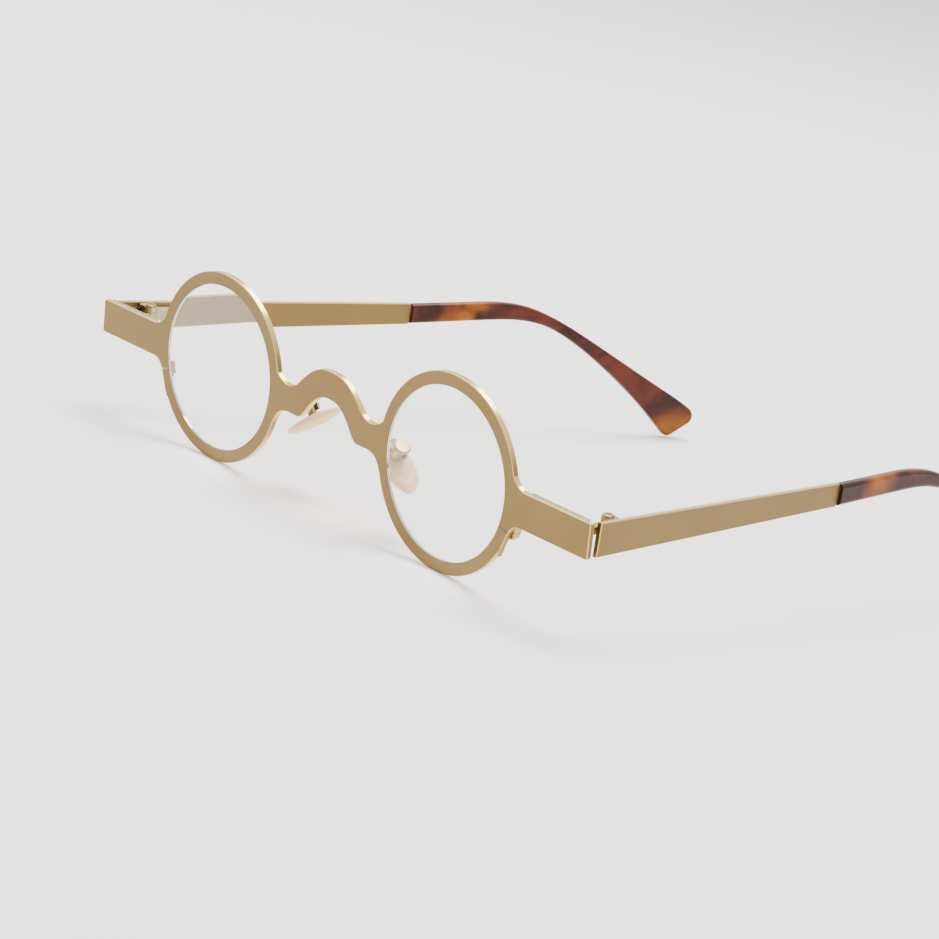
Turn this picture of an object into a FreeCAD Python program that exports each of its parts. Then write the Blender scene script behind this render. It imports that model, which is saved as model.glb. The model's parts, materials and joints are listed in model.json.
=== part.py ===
import FreeCAD, Part
import os
from math import cos, sin, radians, sqrt

V = FreeCAD.Vector
Placement = FreeCAD.Placement
Rotation = FreeCAD.Rotation

# Folding reading glasses, in millimetres.
# Everything is built in the plane of the front: X to the wearer's left, Y back towards the
# wearer, Z up, with the front's outer face at Y = 0 and the rim centres at Z = 0.
# At the end it is tipped forward so that both rims and both temple tips rest on Z = 0.

# Driving dimensions of the front
RIM_CENTRE_X = 32.0
RIM_INNER_R = 15.3
RIM_OUTER_R = 17.65
FRONT_THICK = 1.2
END_X = 68.2
END_TOP = 3.0
END_BOTTOM = -3.4
END_THICK = 0.9
END_START_X = 52.0
BRIDGE_CROWN = 8.65
EDGE_BREAK = 0.12

# Lenses
GROOVE_DEPTH = 0.4
LENS_GAP = 0.03
LENS_FRONT_R = 132.0
LENS_BACK_R = 250.0
LENS_CENTRE_THICK = 1.6
LENS_FRONT_EDGE = 0.02

# Rim locks, which close the rims round the lenses
LOCK_ANGLE = -17.0
LOCK_SPLIT = 0.08
LOCK_DEPTH = 2.0
LOCK_SCREW_R = 0.4

# Temples
TEMPLE_X = 67.9
TEMPLE_Y = 2.7
TEMPLE_Z = -0.45
TEMPLE_TOE_IN = 6.85
TEMPLE_DROP = 3.83
TEMPLE_THICK = 1.0
ARM_LENGTH = 67.4
ARM_HEIGHT_FRONT = 5.95
ARM_HEIGHT_BACK = 4.3
TONGUE_LENGTH = 20.0
TONGUE_HEIGHT = 1.8

# Temple tips, drawn in the temple's own plane: distance along, height
TIP_THICK = 2.2
TIP_ROUND = 0.75
TIP_TOP = ((84.0, 2.3), (90.5, 2.15), (96.3, 1.3), (101.5, -0.3), (113.0, -5.5), (137.5, -18.1),
           (144.3, -21.8))
TIP_END = ((144.3, -21.8), (147.0, -24.0), (139.2, -28.3))
TIP_BOTTOM = ((139.2, -28.3), (132.0, -22.0), (119.4, -12.6), (107.1, -5.2), (101.2, -2.8), (95.6, -1.7),
              (84.0, -1.5))

# Hinges: one knuckle on the front between two on the temple
HINGE_X = 64.2
HINGE_Y = 7.8
HINGE_Z = 0.1
HINGE_LEAN = 2.3
KNUCKLE_R = 1.25
KNUCKLE_HEIGHT = 3.5
MIDDLE_KNUCKLE = 1.3
KNUCKLE_GAP = 0.07
SCREW_R = 0.45
SCREW_CLEARANCE = 0.05
LEAF_THICK = 0.6

# Nose pads: one long axis points up and in towards the nose, the box sits on the outward side
PAD_CENTRE = V(12.03, 7.43, -4.99)
PAD_UP = V(-0.831, 0.055, 0.553)
PAD_OUTWARD = V(0.543, -0.13, 0.829)
PAD_LENGTH = 14.1
PAD_WIDTH = 6.6
PAD_THICK = 2.1
PAD_DOME = ((-1, 0.45), (-0.75, 0.72), (-0.4, 0.93), (0, 1.0), (0.4, 0.93), (0.75, 0.72), (1, 0.45))
PAD_WIRE_HEIGHT = 3.55
PAD_BOX_START = 1.6
PAD_BOX_END = 4.2
PAD_PIVOT = 2.7
PAD_BOX_R = 1.55
PAD_SLOT = 1.1
PAD_TAB_R = 0.75
PAD_SCREW_R = 0.35
PAD_WIRE_R = 0.42

# How the glasses rest
REST_TILT = 8.38
REST_HEIGHT = 17.44
REST_BACK = -73.25


def box(x0, x1, y0, y1, z0, z1):
    return Part.makeBox(x1 - x0, y1 - y0, z1 - z0, V(x0, y0, z0))


def smooth(points):
    curve = Part.BSplineCurve()
    curve.interpolate([V(x, 0, z) for x, z in points])
    return curve.toShape()


def polyline(points):
    corners = [V(x, 0, z) for x, z in points]
    return [Part.makeLine(a, b) for a, b in zip(corners, corners[1:])]


def plate(edges, thick):
    """A flat plate cut to a closed outline, its front at Y = 0."""
    return Part.Face(Part.Wire(edges)).extrude(V(0, thick, 0))


def frame_from(origin, x_axis, y_axis, z_axis):
    """Placement that carries the local axes onto the given ones."""
    turn = FreeCAD.Matrix(
        x_axis.x, y_axis.x, z_axis.x, origin.x,
        x_axis.y, y_axis.y, z_axis.y, origin.y,
        x_axis.z, y_axis.z, z_axis.z, origin.z,
        0, 0, 0, 1)
    return Placement(turn)


def placed(shape, placement):
    out = shape.copy()
    out.Placement = placement.multiply(out.Placement)
    return out


def mirrored(points):
    """A half outline continued by its own mirror image, left to right."""
    return [(-x, z) for x, z in reversed(points)][:-1] + list(points)


# ---------------------------------------------------------------- front


def bridge():
    top = mirrored([(0, BRIDGE_CROWN), (2.2, 8.45), (4.2, 7.8), (6.2, 6.5), (8.2, 4.65),
                    (9.8, 3.25), (11.4, 2.8), (13.0, 3.0), (14.6, 3.9), (16.0, 5.6)])
    bottom = mirrored([(0, 3.5), (2.0, 3.25), (3.8, 2.25), (5.2, 0.85), (6.6, -0.95), (7.8, -2.05),
                       (9.4, -2.25), (11.8, -2.25), (13.4, -2.8), (14.7, -4.4), (16.0, -7.2)])
    sides = [polyline([(x, 5.6), (x, -7.2)])[0] for x in (-16.0, 16.0)]
    return plate([smooth(top), sides[1], smooth(bottom), sides[0]], FRONT_THICK)


def end_plate():
    """The rectangular end piece with its fillets into the rim."""
    inner = RIM_CENTRE_X + 15.0
    outline = polyline([(inner, -10.0), (48.2, -7.0)])
    outline.append(smooth([(48.2, -7.0), (48.75, -5.6), (49.7, -4.2), (51.6, END_BOTTOM)]))
    outline += polyline([(51.6, END_BOTTOM), (END_X, END_BOTTOM), (END_X, END_TOP),
                         (52.4, END_TOP)])
    outline.append(smooth([(52.4, END_TOP), (50.6, 3.35), (49.6, 4.1), (48.6, 5.6)]))
    outline += polyline([(48.6, 5.6), (inner, 8.0), (inner, -10.0)])
    plain = plate(outline, FRONT_THICK)
    corners = [e for e in plain.Edges
               if abs(e.Vertexes[0].X - END_X) < 0.01 and abs(e.Vertexes[-1].X - END_X) < 0.01
               and abs(e.Vertexes[0].Z - e.Vertexes[-1].Z) < 0.01]
    return plain.makeFillet(0.5, corners)


def around_rim(shape, centre_x):
    """Carry a shape made round the Z axis onto the axis of a rim."""
    return placed(shape, Placement(V(centre_x, 0, 0), Rotation(V(1, 0, 0), 90)))


def turned(profile):
    """Solid of revolution from (radius, depth behind the front) points and arcs."""
    return Part.Face(Part.Wire(profile)).revolve(V(0, 0, 0), V(0, 0, 1), 360)


def groove(centre_x):
    apex = RIM_INNER_R + GROOVE_DEPTH
    middle = FRONT_THICK / 2
    flare = 0.62 * (GROOVE_DEPTH + 1)
    points = [V(RIM_INNER_R - 1, 0, -middle + flare), V(apex, 0, -middle),
              V(RIM_INNER_R - 1, 0, -middle - flare)]
    edges = [Part.makeLine(points[i], points[(i + 1) % 3]) for i in range(3)]
    return around_rim(turned(edges), centre_x)


def lock_frame(centre_x, side):
    """Local X runs outward along the rim's radius, Z up along the rim, Y back."""
    angle = radians(LOCK_ANGLE)
    outward = V(side * cos(angle), 0, sin(angle))
    along = V(-side * sin(angle), 0, cos(angle))
    origin = V(centre_x, 0, 0) + outward * RIM_OUTER_R
    return frame_from(origin, outward * side, V(0, 1, 0), along)


def front_frame():
    body = bridge().fuse(end_plate())
    body = body.fuse(end_plate().mirror(V(0, 0, 0), V(1, 0, 0)))
    for x in (-RIM_CENTRE_X, RIM_CENTRE_X):
        body = body.fuse(around_rim(Part.makeCylinder(RIM_OUTER_R, FRONT_THICK, V(0, 0, -FRONT_THICK)), x))
    body = body.removeSplitter()
    outline = [e for e in body.Edges
               if abs(e.BoundBox.YMax - e.BoundBox.YMin) < 0.01]
    body = body.makeChamfer(EDGE_BREAK, outline)
    for side in (-1, 1):
        x = side * RIM_CENTRE_X
        opening = Part.makeCylinder(RIM_INNER_R, FRONT_THICK + 2, V(0, 0, -FRONT_THICK - 1))
        body = body.cut(around_rim(opening, x)).cut(groove(x))
        slit = box(-3.5, 1.0, -1, FRONT_THICK + 1, -LOCK_SPLIT / 2, LOCK_SPLIT / 2)
        if side < 0:
            slit = slit.mirror(V(0, 0, 0), V(1, 0, 0))
        body = body.cut(placed(slit, lock_frame(x, side)))
        x0, x1 = sorted((side * END_START_X, side * (END_X + 1)))
        body = body.cut(box(x0, x1, END_THICK, FRONT_THICK + 1, END_BOTTOM - 1, END_TOP + 1))
    return body.removeSplitter()


def lens(side):
    """Plus-power lens with a bevelled edge: both faces bow forward, the front one more strongly."""
    edge = RIM_INNER_R - 0.04
    apex = RIM_INNER_R + GROOVE_DEPTH - LENS_GAP
    middle = FRONT_THICK / 2
    front_pole = LENS_FRONT_EDGE - (LENS_FRONT_R - sqrt(LENS_FRONT_R ** 2 - edge ** 2))
    back_pole = front_pole + LENS_CENTRE_THICK
    bevel = (apex - edge) * 0.62
    profile = polyline([(0, 2), (edge, 2), (edge, -middle + bevel), (apex, -middle),
                        (edge, -middle - bevel), (edge, -3), (0, -3), (0, 2)])
    blank = around_rim(turned(profile), side * RIM_CENTRE_X)
    front_ball = Part.makeSphere(LENS_FRONT_R, V(side * RIM_CENTRE_X, front_pole + LENS_FRONT_R, 0))
    back_ball = Part.makeSphere(LENS_BACK_R, V(side * RIM_CENTRE_X, back_pole + LENS_BACK_R, 0))
    return blank.common(front_ball).cut(back_ball)


def rim_lock_parts():
    """The closing block's two halves and screw, in the lock's own frame."""
    y0 = FRONT_THICK
    y1 = FRONT_THICK + LOCK_DEPTH
    screw_x = -0.6
    screw_y = (y0 + y1) / 2
    reach = 1.15

    def half(z0, z1):
        block = box(-1.75, 0.45, y0, y1, z0, z1)
        upright = [e for e in block.Edges
                   if abs(e.Vertexes[0].Z - e.Vertexes[1].Z) > 0.5 and e.Vertexes[0].Y > y1 - 0.1]
        block = block.makeFillet(0.6, upright)
        return block.cut(Part.makeCylinder(LOCK_SCREW_R, 6, V(screw_x, screw_y, -3)))

    upper = half(LOCK_SPLIT / 2, reach)
    lower = half(-reach, -LOCK_SPLIT / 2)
    shank = Part.makeCylinder(LOCK_SCREW_R, 2 * reach - 0.2, V(screw_x, screw_y, -reach))
    head = Part.makeCylinder(0.75, 0.5, V(screw_x, screw_y, -reach - 0.5))
    slot = box(screw_x - 1, screw_x + 1, screw_y - 0.1, screw_y + 0.1, -reach - 0.7, -reach - 0.25)
    return upper, lower, shank.fuse(head).removeSplitter().cut(slot)


# ---------------------------------------------------------------- nose pads


def pad_frame():
    """Local Z points away from the nose, local Y up the pad, local X across it."""
    out = V(PAD_OUTWARD)
    out.normalize()
    up = PAD_UP - out * out.dot(PAD_UP)
    up.normalize()
    return frame_from(PAD_CENTRE, up.cross(out), up, out)


def oval(length, width, height):
    """Pad outline, a little fuller at its lower end, at one height through the pad."""
    half_l = length / 2
    half_w = width / 2
    points = [V(0, -half_l, height), V(half_w * 0.76, -half_l * 0.69, height),
              V(half_w, -half_l * 0.05, height), V(half_w * 0.68, half_l * 0.72, height),
              V(0, half_l, height), V(-half_w * 0.68, half_l * 0.72, height),
              V(-half_w, -half_l * 0.05, height), V(-half_w * 0.76, -half_l * 0.69, height)]
    curve = Part.BSplineCurve()
    curve.interpolate(points, True)
    return Part.Wire(curve.toShape())


def pad_core():
    """Stiff plate moulded into the pad, with the tab that the pad screw passes through."""
    core = Part.Face(oval(PAD_LENGTH * 0.56, PAD_WIDTH * 0.5, 0.1)).extrude(V(0, 0, 0.45))
    side = PAD_SLOT / 2 - 0.1
    tab = box(-side, side, -PAD_TAB_R, PAD_TAB_R, 0.3, PAD_PIVOT)
    end = Part.makeCylinder(PAD_TAB_R, 2 * side, V(-side, 0, PAD_PIVOT), V(1, 0, 0))
    hole = Part.makeCylinder(PAD_SCREW_R + 0.05, 4, V(-2, 0, PAD_PIVOT), V(1, 0, 0))
    return core.fuse(tab).fuse(end).cut(hole).removeSplitter()


def nose_pad():
    """Soft pad, domed on both faces and moulded round its core."""
    half = PAD_THICK / 2
    layers = [oval(PAD_LENGTH * scale, PAD_WIDTH * scale, half * level) for level, scale in PAD_DOME]
    return Part.makeLoft(layers, True, False).cut(pad_core())


def pad_box():
    """Round box, slotted for the tab on the pad's core."""
    cup = Part.makeCylinder(PAD_BOX_R, PAD_BOX_END - PAD_BOX_START, V(0, 0, PAD_BOX_START))
    rim = [e for e in cup.Edges if abs(e.BoundBox.ZMin - PAD_BOX_END) < 0.01]
    cup = cup.makeFillet(0.3, rim)
    slot = box(-PAD_SLOT / 2, PAD_SLOT / 2, -3, 3, PAD_BOX_START - 1, PAD_PIVOT + PAD_TAB_R + 0.2)
    return cup.cut(slot).cut(Part.makeCylinder(PAD_SCREW_R, 4, V(-2, 0, PAD_PIVOT), V(1, 0, 0)))


def pad_screw():
    """Screw across the box, its head on the wearer's side."""
    shank = Part.makeCylinder(PAD_SCREW_R, 2 * PAD_BOX_R, V(-PAD_BOX_R, 0, PAD_PIVOT), V(1, 0, 0))
    head = Part.makeCylinder(0.6, 0.4, V(PAD_BOX_R, 0, PAD_PIVOT), V(1, 0, 0))
    slot = box(PAD_BOX_R + 0.2, PAD_BOX_R + 0.6, -1, 1, PAD_PIVOT - 0.09, PAD_PIVOT + 0.09)
    return shank.fuse(head).removeSplitter().cut(slot)


def pad_arm():
    """Bent wire from the back of the rim to the side of the pad box."""
    holder = pad_frame()
    foot = V(15.9, FRONT_THICK, 0.6)
    inward = holder.Rotation.multVec(V(1, 0, 0))
    joint = holder.multVec(V(0, 0, PAD_WIRE_HEIGHT))
    path = Part.BSplineCurve()
    path.interpolate(Points=[foot, V(15.95, 2.7, 0.75), V(15.1, 3.9, -0.9), joint - inward * 2.3, joint],
                     InitialTangent=V(0, 1, 0), FinalTangent=inward)
    section = Part.Wire(Part.makeCircle(PAD_WIRE_R, foot, V(0, 1, 0)))
    wire = Part.Wire(path.toShape()).makePipeShell([section], True, True)
    barrel = Part.makeCylinder(PAD_BOX_R, 20, V(0, 0, -8))
    return wire.cut(placed(barrel, holder))


# ---------------------------------------------------------------- hinges and temples


def hinge_frame(lean):
    axis = V(sin(radians(lean)), 0, cos(radians(lean)))
    back = V(0, 1, 0)
    return frame_from(V(HINGE_X, HINGE_Y, HINGE_Z), back.cross(axis), back, axis)


def temple_frame():
    toe = Rotation(V(0, 0, 1), TEMPLE_TOE_IN)
    drop = Rotation(V(1, 0, 0), -TEMPLE_DROP)
    return Placement(V(TEMPLE_X, TEMPLE_Y, TEMPLE_Z), toe.multiply(drop))


def hinge_front_leaf(lean):
    """Plate behind the end piece that carries the middle knuckle."""
    strip = box(END_START_X, END_X - 0.6, END_THICK, END_THICK + LEAF_THICK, -2.4, END_TOP)
    corners = [e for e in strip.Edges if abs(e.Vertexes[0].Y - e.Vertexes[1].Y) > 0.1]
    strip = strip.makeFillet(0.9, corners)
    half = MIDDLE_KNUCKLE / 2
    barrel = Part.makeCylinder(KNUCKLE_R, MIDDLE_KNUCKLE, V(0, 0, -half))
    web = box(-0.85, 0.85, END_THICK + LEAF_THICK - 0.2 - HINGE_Y, 0, -half, half)
    knuckle = barrel.fuse(web).cut(Part.makeCylinder(SCREW_R + SCREW_CLEARANCE, 4, V(0, 0, -2)))
    return strip.fuse(placed(knuckle, hinge_frame(lean))).removeSplitter()


def hinge_temple_leaf(lean):
    """Plate on the temple's inner face that carries the two outer knuckles."""
    leaf = box(-TEMPLE_THICK - LEAF_THICK, -TEMPLE_THICK, 2.1, 11.5, -1.5, 2.0)
    corners = [e for e in leaf.Edges if abs(e.Vertexes[0].X - e.Vertexes[1].X) > 0.1]
    leaf = placed(leaf.makeFillet(0.8, corners), temple_frame())
    knuckles = []
    half = MIDDLE_KNUCKLE / 2 + KNUCKLE_GAP
    top = KNUCKLE_HEIGHT / 2
    for z0, z1 in ((half, top), (-top, -half)):
        barrel = Part.makeCylinder(KNUCKLE_R, z1 - z0, V(0, 0, z0))
        web = box(0, 1.85, -KNUCKLE_R, KNUCKLE_R, z0, z1)
        knuckles.append(barrel.fuse(web))
    joined = placed(Part.makeCompound(knuckles), hinge_frame(lean))
    relief = Part.makeCylinder(KNUCKLE_R + 0.15, 2 * half, V(0, 0, -half))
    bore = Part.makeCylinder(SCREW_R, 8, V(0, 0, -4))
    leaf = leaf.cut(placed(relief, hinge_frame(lean)))
    leaf = leaf.fuse(joined.Solids)
    return leaf.cut(placed(bore, hinge_frame(lean))).removeSplitter()


def hinge_screw(lean):
    top = KNUCKLE_HEIGHT / 2
    shank = Part.makeCylinder(SCREW_R, KNUCKLE_HEIGHT + 0.2, V(0, 0, -top - 0.2))
    head = Part.makeCylinder(1.0, 0.4, V(0, 0, top))
    head = head.makeFillet(0.18, [e for e in head.Edges if abs(e.BoundBox.ZMin - top - 0.4) < 0.01])
    slot = box(-1.2, 1.2, -0.13, 0.13, top + 0.2, top + 0.7)
    screw = shank.fuse(head).removeSplitter().cut(slot)
    return placed(screw, hinge_frame(lean))


def arm_outline():
    front = ARM_HEIGHT_FRONT / 2
    back = ARM_HEIGHT_BACK / 2
    points = [(0, -front), (ARM_LENGTH - 0.5, -back), (ARM_LENGTH, -back + 0.5), (ARM_LENGTH, back - 0.5),
              (ARM_LENGTH - 0.5, back), (0, front), (0, -front)]
    return polyline(points)


def temple_arm():
    """Tapering plate with a narrow tongue that carries the tip."""
    blank = plate(arm_outline(), TEMPLE_THICK)
    edges = [e for e in blank.Edges if abs(e.BoundBox.YMax - e.BoundBox.YMin) < 0.01]
    blank = blank.makeChamfer(EDGE_BREAK, edges)
    half = TONGUE_HEIGHT / 2
    tongue = box(ARM_LENGTH - 0.5, ARM_LENGTH + TONGUE_LENGTH, 0.15, TEMPLE_THICK - 0.15, -half, half)
    arm = blank.fuse(tongue).removeSplitter()
    return placed(arm, Placement(V(0, 0, 0), Rotation(V(0, 0, 1), 90)))


def temple_tip():
    """Acetate tip: straight over the tongue, bent down behind the ear, ending in a paddle."""
    top = Part.BSplineCurve()
    top.interpolate(Points=[V(y, 0, z) for y, z in TIP_TOP], InitialTangent=V(1, 0, 0.02),
                    FinalTangent=V(1, 0, -0.6))
    bottom = Part.BSplineCurve()
    bottom.interpolate(Points=[V(y, 0, z) for y, z in TIP_BOTTOM], InitialTangent=V(-1, 0, 0.88),
                       FinalTangent=V(-1, 0, -0.02))
    outline = polyline([(84.0, -1.5), (ARM_LENGTH, -1.95), (ARM_LENGTH, 2.0), (84.0, 2.3)])
    outline += [top.toShape()] + polyline(TIP_END) + [bottom.toShape()]
    blank = plate(outline, TIP_THICK)
    corners = [e for e in blank.Edges
               if abs(e.BoundBox.YMax - e.BoundBox.YMin) > 1 and e.BoundBox.XMin > TIP_END[2][0] - 0.1]
    blank = blank.makeFillet(1.9, corners)
    rims = [e for e in blank.Edges
            if abs(e.BoundBox.YMax - e.BoundBox.YMin) < 0.01 and e.BoundBox.XMax > ARM_LENGTH + 0.1]
    blank = blank.makeFillet(TIP_ROUND, rims)
    half = TONGUE_HEIGHT / 2
    spare = (TIP_THICK - TEMPLE_THICK) / 2
    pocket = box(ARM_LENGTH - 1, ARM_LENGTH + TONGUE_LENGTH,
                 spare + 0.15, spare + TEMPLE_THICK - 0.15, -half, half)
    turn = Placement(V(spare, 0, 0), Rotation(V(0, 0, 1), 90))
    return placed(blank.cut(pocket), turn)


# ---------------------------------------------------------------- assembly


def side_parts(side):
    """All the pieces of one side, made at +X; the wearer's right side is a mirror image."""
    lean = side * HINGE_LEAN
    lock = lock_frame(RIM_CENTRE_X, 1)
    upper, lower, lock_screw = [placed(s, lock) for s in rim_lock_parts()]
    pad = pad_frame()
    temple = temple_frame()
    return {
        "rim_lock_upper": upper,
        "rim_lock_lower": lower,
        "rim_lock_screw": lock_screw,
        "pad_arm": pad_arm(),
        "pad_box": placed(pad_box(), pad),
        "pad_screw": placed(pad_screw(), pad),
        "pad_core": placed(pad_core(), pad),
        "nose_pad": placed(nose_pad(), pad),
        "hinge_front_leaf": hinge_front_leaf(lean),
        "hinge_temple_leaf": hinge_temple_leaf(lean),
        "hinge_screw": hinge_screw(lean),
        "temple_arm": placed(temple_arm(), temple),
        "temple_tip": placed(temple_tip(), temple),
    }


def assemble():
    nodes = {"front_frame": front_frame()}
    for side, word in ((1, "left"), (-1, "right")):
        nodes["lens_" + word] = lens(side)
        for name, shape in side_parts(side).items():
            if side < 0:
                shape = shape.mirror(V(0, 0, 0), V(1, 0, 0))
            nodes[name + "_" + word] = shape
    return nodes


os.makedirs("parts", exist_ok=True)
rest = Placement(V(0, REST_BACK, REST_HEIGHT), Rotation(V(1, 0, 0), REST_TILT))
for node, shape in assemble().items():
    placed(shape, rest).exportStep("parts/" + node + ".step")
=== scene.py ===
import bpy
import json
import math
from mathutils import Matrix, Vector

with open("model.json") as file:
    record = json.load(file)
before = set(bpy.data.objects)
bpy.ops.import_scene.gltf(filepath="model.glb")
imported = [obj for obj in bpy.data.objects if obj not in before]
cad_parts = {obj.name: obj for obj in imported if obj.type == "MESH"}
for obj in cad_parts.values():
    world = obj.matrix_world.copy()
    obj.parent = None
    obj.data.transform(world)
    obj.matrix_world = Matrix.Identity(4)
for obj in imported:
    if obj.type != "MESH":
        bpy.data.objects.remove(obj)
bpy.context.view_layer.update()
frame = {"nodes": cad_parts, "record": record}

# The front plate leans by this much from upright while the glasses stand on their rims and tips
FRONT_LEAN = math.radians(8.38)
TEMPLE_TOE_IN = math.radians(6.85)

# The amber part of each tortoiseshell tip lies between these distances behind the middle, in metres
AMBER_START = 0.0050
AMBER_END = 0.0115

# Camera: where it looks from, the point it looks at (metres) and its lens
VIEW_AZIMUTH = math.radians(45.479)
VIEW_ELEVATION = math.radians(12.546)
VIEW_ROLL = math.radians(12.471)
VIEW_DISTANCE = 0.59762
AIM = Vector((0.019046, -0.054920, 0.014172))
LENS_MM = 130.09
SENSOR_MM = 36.0

# Soft studio light: an even pale surround and three large soft lamps (watts)
SURROUND_STRENGTH = 1.72
TOP_POWER = 38.0
FRONT_LEFT_POWER = 4.0
SIDE_POWER = 5.0


# ---------------------------------------------------------------- node helpers


class Graph:
    """A material's node tree with short ways to add nodes and wires."""

    def __init__(self, name):
        self.material = bpy.data.materials.get(name) or bpy.data.materials.new(name)
        self.material.use_nodes = True
        self.tree = self.material.node_tree
        self.tree.nodes.clear()
        self.out = self.add("ShaderNodeOutputMaterial")
        self.coords = self.add("ShaderNodeTexCoord")

    def add(self, kind, **settings):
        node = self.tree.nodes.new(kind)
        for key, value in settings.items():
            setattr(node, key, value)
        return node

    def wire(self, source, target):
        self.tree.links.new(source, target)

    def feed(self, socket, value):
        if hasattr(value, "is_output"):
            self.wire(value, socket)
        elif isinstance(value, (tuple, list)) and len(value) == 3 and len(socket.default_value) == 4:
            socket.default_value = (*value, 1.0)
        else:
            socket.default_value = value

    def math(self, operation, a, b=0.0, clamp=False):
        node = self.add("ShaderNodeMath", operation=operation, use_clamp=clamp)
        self.feed(node.inputs[0], a)
        self.feed(node.inputs[1], b)
        return node.outputs[0]

    def vector(self, operation, a, b):
        node = self.add("ShaderNodeVectorMath", operation=operation)
        self.feed(node.inputs[0], a)
        self.feed(node.inputs[1], b)
        return node.outputs["Value"] if operation == "DOT_PRODUCT" else node.outputs[0]

    def stretch(self, source, low, high, to_low=0.0, to_high=1.0):
        node = self.add("ShaderNodeMapRange", interpolation_type="SMOOTHSTEP")
        for socket, value in zip(node.inputs, (source, low, high, to_low, to_high)):
            self.feed(socket, value)
        return node.outputs[0]

    def mix(self, factor, a, b):
        node = self.add("ShaderNodeMix", data_type="RGBA")
        self.feed(node.inputs[0], factor)
        self.feed(node.inputs[6], a)
        self.feed(node.inputs[7], b)
        return node.outputs[2]

    def scaled(self, scale):
        node = self.add("ShaderNodeMapping")
        self.wire(self.coords.outputs["Object"], node.inputs["Vector"])
        node.inputs["Scale"].default_value = scale
        return node.outputs[0]

    def noise(self, where, scale, detail=4.0, rough=0.55, distortion=0.0):
        node = self.add("ShaderNodeTexNoise")
        self.wire(where, node.inputs["Vector"])
        node.inputs["Scale"].default_value = scale
        node.inputs["Detail"].default_value = detail
        node.inputs["Roughness"].default_value = rough
        node.inputs["Distortion"].default_value = distortion
        return node.outputs["Fac"]

    def bump(self, height, distance, strength=1.0):
        node = self.add("ShaderNodeBump")
        self.wire(height, node.inputs["Height"])
        node.inputs["Distance"].default_value = distance
        node.inputs["Strength"].default_value = strength
        return node.outputs[0]

    def principled(self, **values):
        node = self.add("ShaderNodeBsdfPrincipled")
        for name, value in values.items():
            self.feed(node.inputs[name.replace("_", " ")], value)
        return node

    def finish(self, shader):
        self.wire(shader, self.out.inputs["Surface"])
        return self.material


# ---------------------------------------------------------------- materials


def satin_metal(name, faces):
    """Bead-blasted champagne gold plate, with cut edges left polished and painted a much lighter gold as a
    painted highlight.
    """
    g = Graph(name)
    normal = g.coords.outputs["Normal"]
    flat = None
    for direction in faces:
        along = g.math("ABSOLUTE", g.vector("DOT_PRODUCT", normal, tuple(direction)))
        flat = along if flat is None else g.math("MAXIMUM", flat, along)
    # Mask of walls and chamfers facing neither the front nor the sides: it makes them smoother (real
    # polish) and much lighter in colour (painted highlight).
    edge_polish_and_highlight = g.stretch(flat, 0.97, 0.80)
    grain = g.noise(g.scaled((1, 1, 1)), 9000.0, 2.0, 0.6)
    cloud = g.noise(g.scaled((1, 1, 1)), 55.0, 3.0, 0.5)
    brushed = g.noise(g.scaled((1.0, 1.0, 14.0)), 700.0, 3.0, 0.6)
    face = g.mix(g.stretch(cloud, 0.3, 0.7), (0.190, 0.126, 0.045), (0.208, 0.140, 0.052))
    # The light gold on the edges is a painted highlight, not the plating's own colour.
    colour = g.mix(edge_polish_and_highlight, face, (0.70, 0.48, 0.18))
    rough_face = g.stretch(grain, 0.3, 0.7, 0.40, 0.50)
    rough = g.add("ShaderNodeMix", data_type="FLOAT")
    g.feed(rough.inputs[0], edge_polish_and_highlight)
    g.feed(rough.inputs[2], rough_face)
    g.feed(rough.inputs[3], g.stretch(brushed, 0.3, 0.7, 0.17, 0.25))
    relief = g.math("MULTIPLY", grain, g.math("SUBTRACT", 1.0, edge_polish_and_highlight))
    shader = g.principled(Base_Color=colour, Metallic=1.0, Roughness=rough.outputs[0],
                          Normal=g.bump(relief, 0.00003, 0.35))
    return g.finish(shader.outputs[0])


def bright_metal(name):
    """Polished plating on the small fittings, with faint tool marks and tarnish in patches."""
    g = Graph(name)
    marks = g.noise(g.scaled((1, 1, 6)), 2600.0, 3.0, 0.6)
    patches = g.noise(g.scaled((1, 1, 1)), 420.0, 3.0, 0.5)
    colour = g.mix(g.stretch(patches, 0.35, 0.7), (0.44, 0.345, 0.18), (0.32, 0.25, 0.125))
    shader = g.principled(Base_Color=colour, Metallic=1.0, Roughness=g.stretch(marks, 0.3, 0.7, 0.18, 0.30),
                          Normal=g.bump(marks, 0.000006, 0.2))
    return g.finish(shader.outputs[0])


def clear_lens(name):
    """Clear lens with a faint coating tint; its shadow stays light."""
    g = Graph(name)
    haze = g.noise(g.scaled((1, 1, 1)), 60.0, 2.0, 0.5)
    tint = g.mix(g.stretch(haze, 0.3, 0.7), (0.985, 0.992, 0.990), (0.972, 0.984, 0.988))
    shader = g.principled(Base_Color=tint, Roughness=0.0, IOR=1.5, Transmission_Weight=1.0,
                          Specular_IOR_Level=0.12)
    through = g.add("ShaderNodeBsdfTransparent")
    g.wire(tint, through.inputs["Color"])
    path = g.add("ShaderNodeLightPath")
    blend = g.add("ShaderNodeMixShader")
    g.wire(path.outputs["Is Shadow Ray"], blend.inputs[0])
    g.wire(shader.outputs[0], blend.inputs[1])
    g.wire(through.outputs[0], blend.inputs[2])
    return g.finish(blend.outputs[0])


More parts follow.
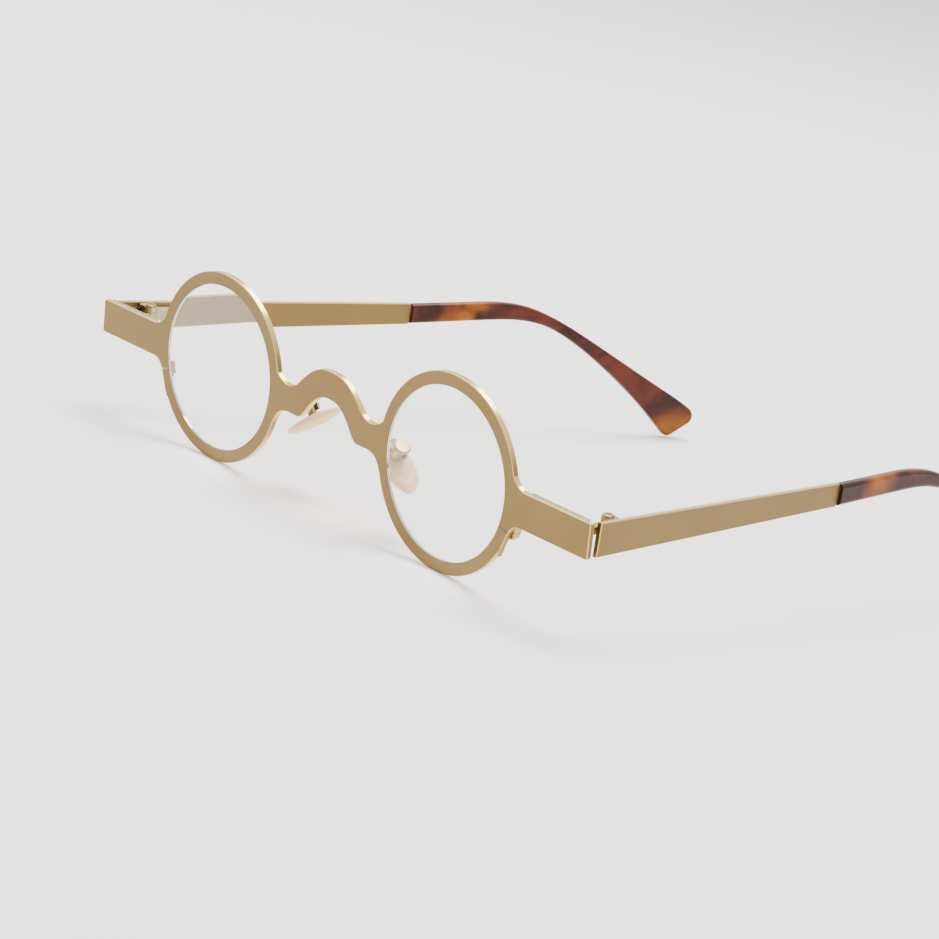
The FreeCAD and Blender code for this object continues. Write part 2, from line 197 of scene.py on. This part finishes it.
def tortoise(name):
    """Polished acetate: soft-edged clouds of red-brown, with amber near the front and at the end."""
    g = Graph(name)
    where = g.scaled((1.0, 0.7, 1.0))
    drift = g.math("MULTIPLY", g.math("SUBTRACT", g.noise(where, 90.0, 2.0, 0.5, 0.6), 0.5), 0.012)
    place = g.add("ShaderNodeSeparateXYZ")
    g.wire(g.coords.outputs["Object"], place.inputs[0])
    along = g.math("ADD", place.outputs["Y"], drift)
    band = g.math("MULTIPLY", g.stretch(along, AMBER_START - 0.0025, AMBER_START + 0.0020),
                  g.stretch(along, AMBER_END + 0.0030, AMBER_END - 0.0020))
    low = g.math("ADD", place.outputs["Z"], g.math("MULTIPLY", drift, 0.4))
    corner = g.math("MULTIPLY", g.stretch(low, 0.0075, 0.0025), g.stretch(along, 0.060, 0.068))
    clouds = g.noise(where, 120.0, 2.5, 0.5, 0.8)
    streaks = g.noise(g.scaled((1.0, 0.35, 1.0)), 300.0, 3.0, 0.55, 0.6)
    warm = g.stretch(clouds, 0.42, 0.66)
    amber = g.math("MAXIMUM", g.math("MULTIPLY", band, g.stretch(clouds, 0.26, 0.50)),
                   g.math("MULTIPLY", corner, 0.8))
    base = g.mix(warm, (0.024, 0.006, 0.004), (0.082, 0.014, 0.006))
    gold = g.mix(g.stretch(streaks, 0.35, 0.65), (0.25, 0.080, 0.003), (0.15, 0.035, 0.003))
    colour = g.mix(amber, base, gold)
    shader = g.principled(Base_Color=colour, Roughness=g.stretch(streaks, 0.3, 0.7, 0.20, 0.27), IOR=1.45,
                          Specular_IOR_Level=0.16, Subsurface_Weight=0.12,
                          Subsurface_Radius=(0.004, 0.0015, 0.0006), Subsurface_Scale=1.0)
    return g.finish(shader.outputs[0])


def silicone(name):
    """Soft cream silicone, slightly cloudy inside and matt outside."""
    g = Graph(name)
    cloud = g.noise(g.scaled((1, 1, 1)), 260.0, 3.0, 0.5)
    skin = g.noise(g.scaled((1, 1, 1)), 5200.0, 2.0, 0.5)
    colour = g.mix(g.stretch(cloud, 0.3, 0.7), (0.86, 0.57, 0.25), (0.90, 0.64, 0.32))
    shader = g.principled(Base_Color=colour, Roughness=g.stretch(skin, 0.3, 0.7, 0.34, 0.46), IOR=1.41,
                          Transmission_Weight=0.08, Subsurface_Weight=0.3,
                          Subsurface_Radius=(0.0020, 0.0012, 0.0007), Subsurface_Scale=1.0,
                          Normal=g.bump(skin, 0.00002, 0.3))
    return g.finish(shader.outputs[0])


def dress():
    """Give every slot of every shown part its finished material."""
    front = Vector((0, -math.cos(FRONT_LEAN), -math.sin(FRONT_LEAN)))
    sides = [Vector((s * math.cos(TEMPLE_TOE_IN), math.sin(TEMPLE_TOE_IN), 0)) for s in (-1, 1)]
    made = {}
    makers = {"satin_metal": lambda n: satin_metal(n, [front] + sides), "bright_metal": bright_metal,
              "lens_clear": clear_lens, "tortoise_acetate": tortoise, "pad_silicone": silicone}
    slots = {entry["node"]: entry["material_slot"] for entry in frame["record"]["subparts"]}
    for node, obj in frame["nodes"].items():
        kind = slots[node]
        if kind not in made:
            made[kind] = makers[kind]("look_" + kind)
        for slot in obj.material_slots:
            slot.material = made[kind]


dress()

# ---------------------------------------------------------------- floor, light, camera


def floor():
    bpy.ops.mesh.primitive_plane_add(size=14.0, location=(0, 0, 0))
    plane = bpy.context.object
    plane.name = "floor"
    g = Graph("pale_floor")
    cloud = g.noise(g.scaled((1, 1, 1)), 9.0, 3.0, 0.5)
    colour = g.mix(g.stretch(cloud, 0.2, 0.8), (0.845, 0.828, 0.824), (0.865, 0.848, 0.844))
    plane.data.materials.append(g.finish(g.principled(Base_Color=colour, Roughness=0.7,
                                                      Specular_IOR_Level=0.2).outputs[0]))


def area_light(name, place, target, size, power, colour=(1, 1, 1)):
    data = bpy.data.lights.new(name, "AREA")
    data.shape = "DISK"
    data.size = size
    data.energy = power
    data.color = colour
    lamp = bpy.data.objects.new(name, data)
    bpy.context.scene.collection.objects.link(lamp)
    lamp.location = place
    lamp.rotation_euler = (Vector(target) - Vector(place)).to_track_quat("-Z", "Y").to_euler()


def studio():
    world = bpy.data.worlds.new("studio")
    bpy.context.scene.world = world
    world.use_nodes = True
    back = world.node_tree.nodes["Background"]
    back.inputs["Color"].default_value = (1.0, 0.99, 0.985, 1)
    back.inputs["Strength"].default_value = SURROUND_STRENGTH
    area_light("top", (-0.25, 0.35, 1.3), (0, 0, 0), 1.0, TOP_POWER, (1.0, 0.97, 0.94))
    area_light("front_left", (-0.9, -0.9, 0.7), (0, 0, 0), 0.9, FRONT_LEFT_POWER)
    area_light("side", (1.3, -0.2, 0.5), (0, 0, 0), 0.9, SIDE_POWER)


def camera():
    data = bpy.data.cameras.new("view")
    data.sensor_width = SENSOR_MM
    data.lens = LENS_MM
    data.clip_start = 0.01
    data.clip_end = 50.0
    back = Vector((math.sin(VIEW_AZIMUTH) * math.cos(VIEW_ELEVATION),
                   -math.cos(VIEW_AZIMUTH) * math.cos(VIEW_ELEVATION), math.sin(VIEW_ELEVATION)))
    turn = back.to_track_quat("Z", "Y").to_matrix().to_4x4()
    obj = bpy.data.objects.new("view", data)
    bpy.context.scene.collection.objects.link(obj)
    obj.matrix_world = (Matrix.Translation(AIM + back * VIEW_DISTANCE) @ turn
                        @ Matrix.Rotation(VIEW_ROLL, 4, "Z"))
    bpy.context.scene.camera = obj


floor()
studio()
camera()
